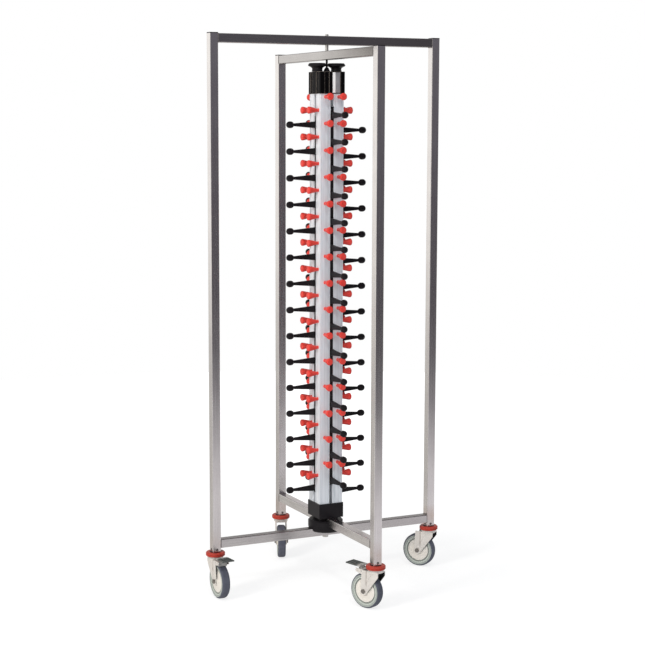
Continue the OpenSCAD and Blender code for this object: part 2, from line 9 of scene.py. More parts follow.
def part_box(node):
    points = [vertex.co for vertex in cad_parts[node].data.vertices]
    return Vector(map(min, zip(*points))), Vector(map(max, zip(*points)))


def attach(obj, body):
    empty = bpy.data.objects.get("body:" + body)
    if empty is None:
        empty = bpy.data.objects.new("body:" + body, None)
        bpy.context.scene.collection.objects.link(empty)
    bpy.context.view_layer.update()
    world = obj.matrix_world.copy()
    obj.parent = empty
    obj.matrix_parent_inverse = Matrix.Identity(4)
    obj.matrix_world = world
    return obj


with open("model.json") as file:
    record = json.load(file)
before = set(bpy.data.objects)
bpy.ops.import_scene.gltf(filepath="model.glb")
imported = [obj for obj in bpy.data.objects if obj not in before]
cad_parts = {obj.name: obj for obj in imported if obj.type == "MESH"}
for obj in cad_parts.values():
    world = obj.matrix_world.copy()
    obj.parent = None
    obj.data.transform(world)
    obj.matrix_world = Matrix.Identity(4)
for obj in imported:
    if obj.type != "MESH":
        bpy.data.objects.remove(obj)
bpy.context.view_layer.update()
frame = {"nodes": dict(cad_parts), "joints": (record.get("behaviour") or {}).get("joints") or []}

NODES = frame["nodes"]
JOINTS = {joint["name"]: joint for joint in frame["joints"]}
WHITE = (1.0, 1.0, 1.0)


# node helpers

def add(tree, kind, **values):
    node = tree.nodes.new(kind)
    for key, value in values.items():
        setattr(node, key, value)
    return node


def feed(tree, socket, value):
    """Links value to socket if it is a link, and sets it there otherwise."""
    if isinstance(value, bpy.types.NodeSocket):
        tree.links.new(value, socket)
    else:
        socket.default_value = value


def new_material(name):
    mat = bpy.data.materials.new(name)
    mat.use_nodes = True
    tree = mat.node_tree
    tree.nodes.clear()
    out = add(tree, "ShaderNodeOutputMaterial")
    bsdf = add(tree, "ShaderNodeBsdfPrincipled")
    tree.links.new(bsdf.outputs["BSDF"], out.inputs["Surface"])
    return mat, tree, bsdf


def object_point(tree):
    return add(tree, "ShaderNodeTexCoord").outputs["Object"]


def object_coords(tree, scale=WHITE):
    mapping = add(tree, "ShaderNodeMapping")
    mapping.inputs["Scale"].default_value = scale
    tree.links.new(object_point(tree), mapping.inputs["Vector"])
    return mapping.outputs["Vector"]


def scalar(tree, operation, *values):
    node = add(tree, "ShaderNodeMath", operation=operation)
    for socket, value in zip(node.inputs, values):
        feed(tree, socket, value)
    return node.outputs["Value"]


def vector(tree, operation, *values):
    node = add(tree, "ShaderNodeVectorMath", operation=operation)
    for socket, value in zip(node.inputs, values):
        feed(tree, socket, value)
    is_number = operation in ("DOT_PRODUCT", "LENGTH", "DISTANCE")
    return node.outputs["Value" if is_number else "Vector"]


def part_of(tree, point, axis):
    parts = add(tree, "ShaderNodeSeparateXYZ")
    tree.links.new(point, parts.inputs["Vector"])
    return parts.outputs[axis]


def noise(tree, point, scale, detail=3.0, rough=0.5):
    node = add(tree, "ShaderNodeTexNoise")
    node.inputs["Scale"].default_value = scale
    node.inputs["Detail"].default_value = detail
    node.inputs["Roughness"].default_value = rough
    tree.links.new(point, node.inputs["Vector"])
    return node.outputs["Fac"]


def ramp(tree, fac, stops):
    node = add(tree, "ShaderNodeValToRGB")
    elements = node.color_ramp.elements
    while len(elements) > len(stops):
        elements.remove(elements[-1])
    while len(elements) < len(stops):
        elements.new(0.5)
    for element, (pos, colour) in zip(elements, stops):
        element.position = pos
        element.color = (*colour, 1.0)
    tree.links.new(fac, node.inputs["Fac"])
    return node.outputs["Color"]


def two_tone(tree, fac, dark, light, start=0.3, end=0.7):
    return ramp(tree, fac, [(start, dark), (end, light)])


def span(tree, fac, low, high, start=0.0, end=1.0, kind="LINEAR"):
    """low where fac is start or less, high where it is end or more."""
    node = add(tree, "ShaderNodeMapRange", interpolation_type=kind)
    node.inputs["From Min"].default_value = start
    node.inputs["From Max"].default_value = end
    node.inputs["To Min"].default_value = low
    node.inputs["To Max"].default_value = high
    tree.links.new(fac, node.inputs["Value"])
    return node.outputs["Result"]


def step(tree, fac, start, end, kind="LINEAR"):
    return span(tree, fac, 0.0, 1.0, start, end, kind)


def smooth_step(tree, fac, start, end):
    return step(tree, fac, start, end, "SMOOTHSTEP")


def mixed(tree, factor, first, second, blend="MIX"):
    """Colour between two colours; each of the three may be a link."""
    node = add(tree, "ShaderNodeMix", data_type="RGBA", blend_type=blend)
    feed(tree, node.inputs["Factor"], factor)
    for socket, value in (("A", first), ("B", second)):
        feed(tree, node.inputs[socket], (*value, 1.0) if isinstance(value, tuple) else value)
    return node.outputs["Result"]


def bump(tree, bsdf, height, strength, distance):
    node = add(tree, "ShaderNodeBump")
    node.inputs["Strength"].default_value = strength
    node.inputs["Distance"].default_value = distance
    tree.links.new(height, node.inputs["Height"])
    tree.links.new(node.outputs["Normal"], bsdf.inputs["Normal"])


# materials

STEEL_DARK, STEEL_PALE = (0.77, 0.745, 0.725), (1.0, 0.97, 0.94)
STEEL_CLOUD = (0.82, 0.80, 0.825)
STEEL_CLOUD_SHARE = 0.55
STEEL_ROUGH = (0.19, 0.31)
END_SHADE_TINT = (1.0, 0.97, 0.94)       # painted shade of a bar's darker end
UPPER_SHADE_TINT = (1.0, 0.96, 0.97)      # painted shade of a bar's upper face
UPPER_SLOPE = (0.55, 0.85)          # upward part of the normal, from a side to the upper face
HEAT_TINT = (0.80, 0.66, 0.58)
HEAT_SHARE = 0.75                   # how strong the tint is at the weld
HEAT_NEAR, HEAT_FAR = 0.008, 0.042  # it fades out between these distances from the weld
HEAT_PATCHES = (0.35, 0.60)         # and between these tones of the cloud
ALLOY_DARK, ALLOY_PALE = (0.64, 0.665, 0.70), (0.86, 0.89, 0.925)
ALLOY_RIDGES = (900.0, 900.0, 4.0)
ALLOY_ROUGH = (0.36, 0.46)
HOUSING_DARK, HOUSING_PALE = (0.003, 0.0027, 0.003), (0.006, 0.005, 0.006)
# painted highlight along the housing's rounded edges
HOUSING_EDGE_HIGHLIGHT = (0.21, 0.178, 0.155)
HOUSING_EDGE_R = 0.0015
HOUSING_EDGE_TURN = (0.88, 0.995)   # cosine between face and rounded edge, where it starts and ends
HOUSING_ROUGH = (0.20, 0.30)
HOUSING_IOR = 1.1
RUBBER_DARK, RUBBER_PALE = (0.078, 0.084, 0.112), (0.108, 0.114, 0.146)
TYRE_RING = (0.34, 0.37, 0.345)
TYRE_RING_R, TYRE_RUBBER_R = 0.0448, 0.0458
FORK_DARK, FORK_PALE = (0.80, 0.76, 0.71), (0.90, 0.86, 0.81)
# painted shade of the fork's inside, between the cheeks and below the crown
FORK_SHADE = (0.03, 0.028, 0.028)
FORK_INNER = 0.0148                 # half the width between the cheeks
FORK_CROWN_Z = 0.1072
FORK_FOLD = (0.006, 0.020)          # the fold's stops lie between these distances from the axle
# painted shade and highlight of a fold line down the cheek: a dark band, then a band brighter than
# the plate
FORK_FOLD_SHADE_STOPS = [
    (0.0, WHITE), (0.16, (0.86, 0.85, 0.84)), (0.26, (0.60, 0.58, 0.56)),
    (0.36, (0.70, 0.68, 0.66)), (0.46, (1.06, 1.06, 1.06)), (1.0, WHITE)]
FORK_FOLD_Z = (0.060, 0.072)        # the fold fades in between these heights
FORK_ROUGH = (0.32, 0.50)
FORK_BLUR, FORK_CROWN_BLUR = 0.0006, 0.0005  # how far outside and shade run into each other
WHEEL_BAND_R = 0.040                # radius of the last stop of the band
WHEEL_BAND_STOPS = [
    (0.0, (0.55, 0.53, 0.50)), (0.16, (0.78, 0.735, 0.67)), (0.80, (0.80, 0.76, 0.70)),
    (0.835, (0.20, 0.215, 0.20)), (0.895, (0.26, 0.28, 0.26)), (0.925, (0.52, 0.56, 0.51)),
    (1.0, (0.56, 0.60, 0.55))]
WHEEL_CLOUD = (0.86, 0.85, 0.83)
WHEEL_CLOUD_SHARE = 0.5
PEDAL_LEVER = (0.46, 0.445, 0.42)
PEDAL_DARK, PEDAL_PALE = (0.060, 0.066, 0.062), (0.105, 0.112, 0.106)
PEDAL_SPLIT = (0.050, 0.060)        # lever inside, tread outside, from the swivel axis
PLATE_WHITE = (0.95, 0.93, 0.90)
PLATE_DARK, PLATE_PALE = (0.22, 0.215, 0.225), (0.31, 0.30, 0.31)
PLATE_SPLIT_SHARE = 0.38            # share of the plate's width that is white
PLATE_SPLIT_HALF = 0.0004
PLASTIC_DARK, PLASTIC_PALE = (0.006, 0.005, 0.006), (0.013, 0.011, 0.013)


def heat_tint(tree, surface, cloud, weld_z):
    """Brownish stain round the weld at the height weld_z."""
    height = part_of(tree, object_point(tree), "Z")
    away = scalar(tree, "ABSOLUTE", scalar(tree, "SUBTRACT", height, weld_z))
    stain = scalar(tree, "MULTIPLY", span(tree, away, HEAT_SHARE, 0.0, HEAT_NEAR, HEAT_FAR),
                   step(tree, cloud, *HEAT_PATCHES))
    return mixed(tree, stain, surface, HEAT_TINT, "MULTIPLY")


def brushed_tube(name, stretch, shade_level=1.0, weld_z=None, fade=None, top=None):
    """Stainless tube, brushed along the direction in which stretch is small.

    level scales its colour, as painted shade that makes some bars darker copies of the
    same steel; weld_z is the height of a brown weld tint; fade is (axis, start, end,
    factor) of painted shade that darkens a bar towards one end; top is the factor of
    painted shade on its upper face."""
    mat, tree, bsdf = new_material(name)
    grain = noise(tree, object_coords(tree, stretch), scale=1.0, detail=4.0, rough=0.6)
    cloud = noise(tree, object_coords(tree), scale=9.0, detail=4.0, rough=0.6)
    dark = tuple(shade_level * c for c in STEEL_DARK)
    pale = tuple(shade_level * c for c in STEEL_PALE)
    brushing = two_tone(tree, grain, dark, pale, start=0.25, end=0.75)
    clouding = two_tone(tree, cloud, STEEL_CLOUD, WHITE, start=0.32, end=0.66)
    surface = mixed(tree, STEEL_CLOUD_SHARE, brushing, clouding, "MULTIPLY")
    if weld_z is not None:
        surface = heat_tint(tree, surface, cloud, weld_z)
    # painted shade: the bar darkens towards one end
    if fade is not None:
        axis, start, end, factor = fade
        share = step(tree, part_of(tree, object_point(tree), axis), start, end)
        shaded_end = tuple(factor * c for c in END_SHADE_TINT)
        surface = mixed(tree, share, surface, shaded_end, "MULTIPLY")
    # painted shade: the upper face is darker than the sides
    if top is not None:
        normal = add(tree, "ShaderNodeNewGeometry").outputs["True Normal"]
        share = step(tree, part_of(tree, normal, "Z"), *UPPER_SLOPE)
        upper = tuple(top * c for c in UPPER_SHADE_TINT)
        surface = mixed(tree, share, surface, upper, "MULTIPLY")
    tree.links.new(surface, bsdf.inputs["Base Color"])
    tree.links.new(span(tree, grain, *STEEL_ROUGH), bsdf.inputs["Roughness"])
    bsdf.inputs["Metallic"].default_value = 1.0
    bump(tree, bsdf, grain, strength=0.05, distance=0.0002)
    return mat


def ridged_alloy(name):
    """Anodised aluminium with fine ridges along the column."""
    mat, tree, bsdf = new_material(name)
    grain = noise(tree, object_coords(tree, ALLOY_RIDGES), scale=1.0)
    blotch = noise(tree, object_coords(tree), scale=11.0, detail=2.0)
    tree.links.new(two_tone(tree, grain, ALLOY_DARK, ALLOY_PALE), bsdf.inputs["Base Color"])
    tree.links.new(span(tree, blotch, *ALLOY_ROUGH), bsdf.inputs["Roughness"])
    bsdf.inputs["Metallic"].default_value = 0.12
    bump(tree, bsdf, grain, strength=0.20, distance=0.0004)
    return mat


def plastic(name, dark, pale, rough, sheen, grain_scale, grain_depth):
    mat, tree, bsdf = new_material(name)
    point = object_coords(tree)
    grain = noise(tree, point, grain_scale, detail=2.0)
    cloud = noise(tree, point, scale=9.0, rough=0.55)
    tree.links.new(two_tone(tree, cloud, dark, pale), bsdf.inputs["Base Color"])
    tree.links.new(span(tree, cloud, rough - 0.06, rough + 0.08), bsdf.inputs["Roughness"])
    bsdf.inputs["Specular IOR Level"].default_value = sheen
    bump(tree, bsdf, grain, 0.25, grain_depth)
    return mat


def edge_lit_black(name):
    """Glossy black with a painted highlight: thin brownish lines along its rounded edges."""
    mat, tree, bsdf = new_material(name)
    cloud = noise(tree, object_coords(tree), scale=9.0, rough=0.55)
    rounded = add(tree, "ShaderNodeBevel", samples=8)
    rounded.inputs["Radius"].default_value = HOUSING_EDGE_R
    normal = add(tree, "ShaderNodeNewGeometry").outputs["True Normal"]
    same = vector(tree, "DOT_PRODUCT", rounded.outputs["Normal"], normal)
    base = two_tone(tree, cloud, HOUSING_DARK, HOUSING_PALE)
    edge = span(tree, same, 1.0, 0.0, *HOUSING_EDGE_TURN)
    tree.links.new(mixed(tree, edge, base, HOUSING_EDGE_HIGHLIGHT), bsdf.inputs["Base Color"])
    tree.links.new(span(tree, cloud, *HOUSING_ROUGH), bsdf.inputs["Roughness"])
    bsdf.inputs["IOR"].default_value = HOUSING_IOR
    return mat


def plated(name, base, rough):
    """Plated steel of small parts."""
    mat, tree, bsdf = new_material(name)
    point = object_coords(tree)
    grain = noise(tree, point, scale=160.0, rough=0.6)
    cloud = noise(tree, point, scale=18.0)
    dark = tuple(c * 0.86 for c in base)
    tree.links.new(two_tone(tree, cloud, dark, base), bsdf.inputs["Base Color"])
    tree.links.new(span(tree, grain, rough - 0.06, rough + 0.12), bsdf.inputs["Roughness"])
    bsdf.inputs["Metallic"].default_value = 0.85
    bump(tree, bsdf, grain, strength=0.08, distance=0.0002)
    return mat


def wheel_radius(tree, centre, normal):
    """Distance from a wheel's axis in metres."""
    offset = vector(tree, "SUBTRACT", object_point(tree), centre)
    return vector(tree, "LENGTH", vector(tree, "CROSS_PRODUCT", offset, normal))


def tyre_rubber(name, centre, normal):
    """Blue-grey rubber whose side carries the pale grey-green ring of the rim."""
    mat, tree, bsdf = new_material(name)
    point = object_coords(tree)
    cloud = noise(tree, point, scale=26.0, rough=0.55)
    grain = noise(tree, point, scale=520.0, detail=2.0)
    rubber = two_tone(tree, cloud, RUBBER_DARK, RUBBER_PALE)
    ring = span(tree, wheel_radius(tree, centre, normal), 1.0, 0.0, TYRE_RING_R, TYRE_RUBBER_R)
    tree.links.new(mixed(tree, ring, rubber, TYRE_RING), bsdf.inputs["Base Color"])
    bsdf.inputs["Roughness"].default_value = 0.6
    bsdf.inputs["Specular IOR Level"].default_value = 0.35
    bump(tree, bsdf, grain, strength=0.25, distance=0.0003)
    return mat


def fork_steel(name, centre, normal, swivel):
    """Plated outside, with the painted shade and highlight of a fold line down the cheek, and
    painted shade between the two cheeks.
    """
    mat, tree, bsdf = new_material(name)
    point = object_coords(tree)
    grain = noise(tree, point, scale=160.0, rough=0.6)
    cloud = noise(tree, point, scale=18.0)
    plate = two_tone(tree, cloud, FORK_DARK, FORK_PALE)
    height = part_of(tree, object_point(tree), "Z")
    offset = vector(tree, "SUBTRACT", object_point(tree), centre)
    beside = scalar(tree, "ABSOLUTE", vector(tree, "DOT_PRODUCT", offset, normal))
    outside = scalar(tree, "MAXIMUM", step(tree, beside, FORK_INNER, FORK_INNER + FORK_BLUR),
                     step(tree, height, FORK_CROWN_Z, FORK_CROWN_Z + FORK_CROWN_BLUR))
    fore = Vector(swivel) - Vector(centre)
    fore.z = 0.0
    along = vector(tree, "DOT_PRODUCT", offset, fore.normalized())
    # painted shade and highlight of the fold
    fold = ramp(tree, step(tree, along, *FORK_FOLD), FORK_FOLD_SHADE_STOPS)
    fold_shaded = mixed(tree, step(tree, height, *FORK_FOLD_Z), plate, fold, "MULTIPLY")
    tree.links.new(mixed(tree, outside, FORK_SHADE, fold_shaded), bsdf.inputs["Base Color"])
    tree.links.new(span(tree, grain, *FORK_ROUGH), bsdf.inputs["Roughness"])
    bsdf.inputs["Metallic"].default_value = 0.50
    bump(tree, bsdf, grain, strength=0.08, distance=0.0002)
    return mat


def wheel_plastic(name, centre, normal):
    """Cream guard disc inside, pale grey-green rim ring outside."""
    mat, tree, bsdf = new_material(name)
    cloud = noise(tree, object_coords(tree), scale=35.0, rough=0.55)
    radius = wheel_radius(tree, centre, normal)
    band = ramp(tree, step(tree, radius, 0.0, WHEEL_BAND_R), WHEEL_BAND_STOPS)
    clouding = two_tone(tree, cloud, WHEEL_CLOUD, WHITE)
    surface = mixed(tree, WHEEL_CLOUD_SHARE, band, clouding, "MULTIPLY")
    tree.links.new(surface, bsdf.inputs["Base Color"])
    bsdf.inputs["Roughness"].default_value = 0.42
    bump(tree, bsdf, cloud, strength=0.1, distance=0.0004)
    return mat


def pedal_material(name, swivel):
    """Plated lever near the swivel axis, dark tread beyond it."""
    mat, tree, bsdf = new_material(name)
    cloud = noise(tree, object_coords(tree), scale=120.0, rough=0.55)
    flat = vector(tree, "MULTIPLY", object_point(tree), (1.0, 1.0, 0.0))
    away = vector(tree, "DISTANCE", flat, (swivel[0], swivel[1], 0.0))
    tread = two_tone(tree, cloud, PEDAL_DARK, PEDAL_PALE)
    surface = mixed(tree, step(tree, away, *PEDAL_SPLIT), PEDAL_LEVER, tread)
    tree.links.new(surface, bsdf.inputs["Base Color"])
    bsdf.inputs["Roughness"].default_value = 0.45
    bump(tree, bsdf, cloud, strength=0.2, distance=0.0003)
    return mat


def bare_plate(name):
    """Unprinted plate, white on its left part and grey beyond."""
    mat, tree, bsdf = new_material(name)
    low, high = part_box("label_plate")
    split = low[0] + PLATE_SPLIT_SHARE * (high[0] - low[0])
    cloud = noise(tree, object_coords(tree), scale=60.0, rough=0.6)
    grey = two_tone(tree, cloud, PLATE_DARK, PLATE_PALE)
    beyond = step(tree, part_of(tree, object_point(tree), "X"),
                  split - PLATE_SPLIT_HALF, split + PLATE_SPLIT_HALF)
    tree.links.new(mixed(tree, beyond, PLATE_WHITE, grey), bsdf.inputs["Base Color"])
    bsdf.inputs["Roughness"].default_value = 0.42
    bump(tree, bsdf, cloud, strength=0.1, distance=0.0001)
    return mat


BRUSH_Z, BRUSH_X, BRUSH_Y = (700.0, 700.0, 5.0), (9.0, 700.0, 700.0), (700.0, 9.0, 700.0)
TUBE_Z = brushed_tube("tube_brushed_upright", BRUSH_Z, weld_z=0.155)
# painted shade: the bars are darker copies of the posts' steel, and some are darker towards one end
# or on their upper faces
TUBE_X = brushed_tube("tube_brushed_bar_x", BRUSH_X, 0.60, fade=("X", -0.30, 0.30, 0.74))
TUBE_X_LOW = brushed_tube("tube_brushed_bar_x_low", BRUSH_X, 0.80, top=0.42)
TUBE_Y = brushed_tube("tube_brushed_bar_y", BRUSH_Y, 0.68, fade=("Y", 0.05, -0.29, 0.52))
TUBE_Y_LOW = brushed_tube("tube_brushed_bar_y_low", BRUSH_Y, 0.98, top=0.90)
ALLOY = ridged_alloy("column_alloy_ridged")
BLACK = plastic("black_moulded", PLASTIC_DARK, PLASTIC_PALE,
                rough=0.42, sheen=0.24, grain_scale=420.0, grain_depth=0.0002)
CAP_BLACK = edge_lit_black("black_cap_moulded")
PEG_BLACK = plastic("black_peg_moulded", PLASTIC_DARK, PLASTIC_PALE,
                    rough=0.36, sheen=0.16, grain_scale=500.0, grain_depth=0.0001)
RED = plastic("red_peg_moulded", (0.68, 0.046, 0.034), (0.78, 0.066, 0.050),
              rough=0.36, sheen=0.3, grain_scale=380.0, grain_depth=0.0001)
BUMPER = plastic("bumper_red_moulded", (0.40, 0.040, 0.026), (0.50, 0.058, 0.036),
                 rough=0.40, sheen=0.35, grain_scale=260.0, grain_depth=0.0003)
BRIGHT = plated("fastener_plated", (0.78, 0.76, 0.72), rough=0.34)
NUT = plated("axle_nut_dulled", (0.30, 0.275, 0.25), rough=0.42)
WELD = plated("weld_bead_grey", (0.36, 0.34, 0.33), rough=0.52)
SCREW = plated("screw_dark_plated", (0.22, 0.20, 0.19), rough=0.36)
PLATE = bare_plate("plain_plate_satin")

# the start of a node's name gives its material; what isn't named here is black plastic
MATERIAL_OF = {
    "outer_post_": TUBE_Z, "inner_post_": TUBE_Z,
    "outer_top_bar": TUBE_X, "outer_bottom_bar": TUBE_X_LOW,
    "inner_top_bar": TUBE_Y, "inner_bottom_bar": TUBE_Y_LOW,
    "column_": ALLOY, "short_pegs_": RED, "long_pegs_": PEG_BLACK,
    "outer_bumper_rings": BUMPER, "inner_bumper_rings": BUMPER,
    "top_housing": CAP_BLACK, "label_plate": PLATE,
    "outer_caster_stems": BRIGHT, "inner_caster_stems": BRIGHT, "pivot_": BRIGHT,
    "axle_": NUT,
}


def caster_materials(side):
    """Materials that are laid out round one caster's own axle and swivel axis."""
    wheel = JOINTS["wheel_roll_" + side]
    centre, normal = wheel["pos_m"], wheel["axis"]
    swivel = JOINTS["caster_swivel_" + side]["pos_m"]
    found = {"tyre_" + side: tyre_rubber("rubber_tyre_" + side, centre, normal),
             "hub_" + side: wheel_plastic("wheel_hub_" + side, centre, normal),
             "fork_" + side: fork_steel("steel_fork_" + side, centre, normal, swivel)}
    if "pedal_" + side in NODES:
        found["pedal_" + side] = pedal_material("pedal_grey_" + side, swivel)
    return found


for side in ("left", "right", "front", "back"):
    MATERIAL_OF.update(caster_materials(side))

for name in NODES:
    mesh = NODES[name].data
    mesh.materials.clear()
    mesh.materials.append(next((mat for start, mat in MATERIAL_OF.items()
                                if name.startswith(start)), BLACK))


# mesh builders

SHARP_ANGLE = math.radians(42)


def finish_mesh(name, bm, body, mat):
    bmesh.ops.recalc_face_normals(bm, faces=bm.faces)
    mesh = bpy.data.meshes.new(name)
    bm.to_mesh(mesh)
    bm.free()
    mesh.shade_smooth()
    mesh.set_sharp_from_angle(angle=SHARP_ANGLE)
    obj = bpy.data.objects.new(name, mesh)
    bpy.context.scene.collection.objects.link(obj)
    mesh.materials.append(mat)
    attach(obj, body)


def on_circle(count):
    return [(math.cos(2 * math.pi * k / count), math.sin(2 * math.pi * k / count))
            for k in range(count)]


def add_revolve(bm, profile, segments, matrix):
    """Turns (radius, height) points about local Z; a point at radius 0 closes it there."""
    rings = []
    for radius, height in profile:
        spots = on_circle(segments) if radius > 0.0 else [(0.0, 0.0)]
        rings.append([bm.verts.new(matrix @ Vector((radius * x, radius * y, height)))
                      for x, y in spots])
    for low, high in zip(rings, rings[1:]):
        for k in range(segments):
            n = (k + 1) % segments
            if len(low) == 1:
                bm.faces.new((low[0], high[k], high[n]))
            elif len(high) == 1:
                bm.faces.new((low[k], low[n], high[0]))
            else:
                bm.faces.new((low[k], low[n], high[n], high[k]))


def add_tube(bm, points, radii, sides=8):
    """Sweep of a small round section along a closed loop of points."""
    count = len(points)
    rings = []
    side = None
    for i, point in enumerate(points):
        along = (points[(i + 1) % count] - points[i - 1]).normalized()
        side = along.orthogonal() if side is None else side - side.dot(along) * along
        side.normalize()
        up = along.cross(side)
        rings.append([bm.verts.new(point + radii[i] * (x * side + y * up))
                      for x, y in on_circle(sides)])
    for i in range(count):
        a, b = rings[i], rings[(i + 1) % count]
        for k in range(sides):
            n = (k + 1) % sides
            bm.faces.new((a[k], a[n], b[n], b[k]))


def place(origin, z_axis):
    """Matrix that puts local Z along z_axis at origin."""
    turn = Vector(z_axis).to_track_quat("Z", "Y").to_matrix().to_4x4()
    return Matrix.Translation(Vector(origin)) @ turn


def box_of(node):
    low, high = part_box(node)
    return (low + high) / 2, low, high


# welds

HALF_TUBE = 0.0125
BEAD_OFF = 0.0002                   # from the tube's faces to the bead's middle line
BEAD_SINK = 0.0004                  # from the post's face to the bead's middle line
BEAD_CORNER = 0.0022
BEAD_STEPS = 16                     # along each side of the tube
BEAD_R, BEAD_RIPPLE = 0.00085, 0.00022
RIPPLE_TURN = 1.9                   # radians of ripple from one step to the next
NEXT_PHASE = 1.3                    # and from one bead to the next


def weld_loop(bm, centre, normal, phase):
    """Rippled weld bead round a square tube's end that meets a post face."""
    up = Vector((0.0, 0.0, 1.0))
    across = normal.cross(up).normalized()
    reach = HALF_TUBE + BEAD_OFF
    flat = reach - BEAD_CORNER
    points = []
    for quarter in range(4):
        turn = quarter * math.pi / 2
        for k in range(BEAD_STEPS + 1):
            t = -flat + 2 * flat * k / BEAD_STEPS
            a = reach * math.cos(turn) - t * math.sin(turn)
            b = reach * math.sin(turn) + t * math.cos(turn)
            points.append(centre + up * a + across * b)
    radii = [BEAD_R + BEAD_RIPPLE * math.sin(i * RIPPLE_TURN + phase) for i in range(len(points))]
    add_tube(bm, points, radii)


def frame_welds(name, body, bars, axis):
    """Beads at both ends of the bars, which lie along the axis."""
    bm = bmesh.new()
    phase = 0.0
    for bar in bars:
        mid, low, high = box_of(bar)
        for end, sign in ((low, -1.0), (high, 1.0)):
            centre, normal = Vector(mid), Vector((0.0, 0.0, 0.0))
            centre[axis] = end[axis]
            normal[axis] = sign
            weld_loop(bm, centre - normal * BEAD_SINK, normal, phase)
            phase += NEXT_PHASE
    finish_mesh(name, bm, body, WELD)


frame_welds("outer_frame_welds", "outer_frame", ("outer_top_bar", "outer_bottom_bar"), 0)
frame_welds("inner_frame_welds", "inner_frame", ("inner_top_bar", "inner_bottom_bar"), 1)


# caster stems: screws, and thin black rings round the foot of every post

SCREW_PROFILE = [(0.0, 0.0019), (0.0016, 0.00175), (0.0030, 0.0011), (0.0036, 0.0002),
                 (0.0036, -0.0003)]
SCREW_SIDES = 20
SCREW_RISE = 0.0075                 # above the foot of the post
FLANGE_IN = HALF_TUBE + 0.0001      # half the width of the square hole
FLANGE_R, FLANGE_BASE, FLANGE_TOP = 0.0166, 0.0002, 0.0011
FLANGE_SLOPE_R, FLANGE_SLOPE_H = 0.0005, 0.0004
FLANGE_SIDES = 48


def stem_screws(name, body, posts):
    """Domed screws that hold the caster stems, one in each face of a post."""
    bm = bmesh.new()
    for post in posts:
        mid, low, _ = box_of(post)
        for x, y in ((-1, 0), (0, -1), (1, 0), (0, 1)):
            centre = (mid[0] + x * HALF_TUBE, mid[1] + y * HALF_TUBE, low[2] + SCREW_RISE)
            add_revolve(bm, SCREW_PROFILE, SCREW_SIDES, place(centre, (x, y, 0)))
    finish_mesh(name, bm, body, SCREW)


def stem_flanges(name, body, posts):
    """Thin black ring that lies on the bumper ring round the foot of every post and darkens its top
    there.
    """
    bm = bmesh.new()
    for post in posts:
        mid, low, _ = box_of(post)
        rings = []
        for k in range(FLANGE_SIDES):
            angle = 2 * math.pi * (k + 0.5) / FLANGE_SIDES
            x, y = math.cos(angle), math.sin(angle)
            hole = FLANGE_IN / max(abs(x), abs(y))
            section = ((hole, FLANGE_BASE), (FLANGE_R, FLANGE_BASE),
                       (FLANGE_R, FLANGE_TOP - FLANGE_SLOPE_H),
                       (FLANGE_R - FLANGE_SLOPE_R, FLANGE_TOP), (hole, FLANGE_TOP))
            rings.append([bm.verts.new((mid[0] + r * x, mid[1] + r * y, low[2] + z))
                          for r, z in section])
        for k in range(FLANGE_SIDES):
            a, b = rings[k], rings[(k + 1) % FLANGE_SIDES]
            for q in range(len(a)):
                n = (q + 1) % len(a)
                bm.faces.new((a[q], b[q], b[n], a[n]))
    finish_mesh(name, bm, body, BLACK)


for what, build in (("screws", stem_screws), ("flanges", stem_flanges)):
    build("outer_stem_" + what, "outer_frame", ("outer_post_left", "outer_post_right"))
    build("inner_stem_" + what, "inner_frame", ("inner_post_front", "inner_post_back"))


# knob flutes

FLUTE_PROFILE = [(0.0, -0.0024), (0.0007, -0.0018), (0.0009, 0.0), (0.0007, 0.0018),
                 (0.0, 0.0024)]
FLUTE_SIDES = 8
FLUTES = 32
FLUTE_SINK = 0.0004                 # inside the knob's rim
FLUTE_DROP = 0.0058                 # below the knob's top


def knob_flutes(side):
    mid, low, high = box_of("knob_" + side)
    radius = (high[0] - low[0]) / 2 - FLUTE_SINK
    bm = bmesh.new()
    for x, y in on_circle(FLUTES):
        centre = Vector((mid[0] + radius * x, mid[1] + radius * y, high[2] - FLUTE_DROP))
        add_revolve(bm, FLUTE_PROFILE, FLUTE_SIDES, Matrix.Translation(centre))
    finish_mesh("knob_flutes_" + side, bm, "adjuster_" + side, BLACK)


for side in ("left", "right"):
    knob_flutes(side)


# floor, world and lamps

DARK_SIDE = (0.43, -0.90, 0.0)      # towards the unlit side of the studio
FLOOR_R, FLOOR_SIDES = 4.0, 96
FLOOR_PALE, FLOOR_SOFT = (0.85, 0.85, 0.85), (0.34, 0.34, 0.34)
# glow at the axis and at the rim, and the distances from the axis where it starts and ends
FLOOR_GLOW, MIRROR_GLOW = (0.74, 1.0, 0.55, 1.8), (0.84, 1.0, 0.3, 0.8)
# distance from the axis along DARK_SIDE, and the floor's colour there in a mirror
MIRROR_SIDE = [
    (-2.0, (0.49, 0.477, 0.460)), (-1.0, (0.49, 0.477, 0.460)), (-0.6, (0.61, 0.593, 0.573)),
    (-0.3, (0.61, 0.593, 0.573)), (0.38, (0.76, 0.745, 0.76)), (0.64, (0.57, 0.555, 0.575)),
    (0.9, (0.74, 0.72, 0.75)), (1.5, (0.74, 0.72, 0.75)), (3.2, (0.104, 0.100, 0.106))]
DOME_STRENGTH = 0.50
DOME_WARM, DOME_COOL = (1.0, 0.985, 0.955), (0.78, 0.87, 1.0)
DOME_TURN = (-0.4, 0.8)             # along DARK_SIDE, from warm to cool
WALL_FOOT, WALL, CEILING = (0.50, 0.485, 0.465), (1.0, 0.985, 0.965), (0.32, 0.315, 0.32)
UNLIT_FOOT, UNLIT = (0.054, 0.047, 0.054), (0.146, 0.139, 0.163)
WALL_FOOT_Z, CEILING_Z, UNLIT_Z = (-0.135, -0.075), (0.17, 0.32), (-0.12, 0.04)
UNLIT_TURN = (0.45, 0.80)           # along DARK_SIDE, from the wall to the unlit side
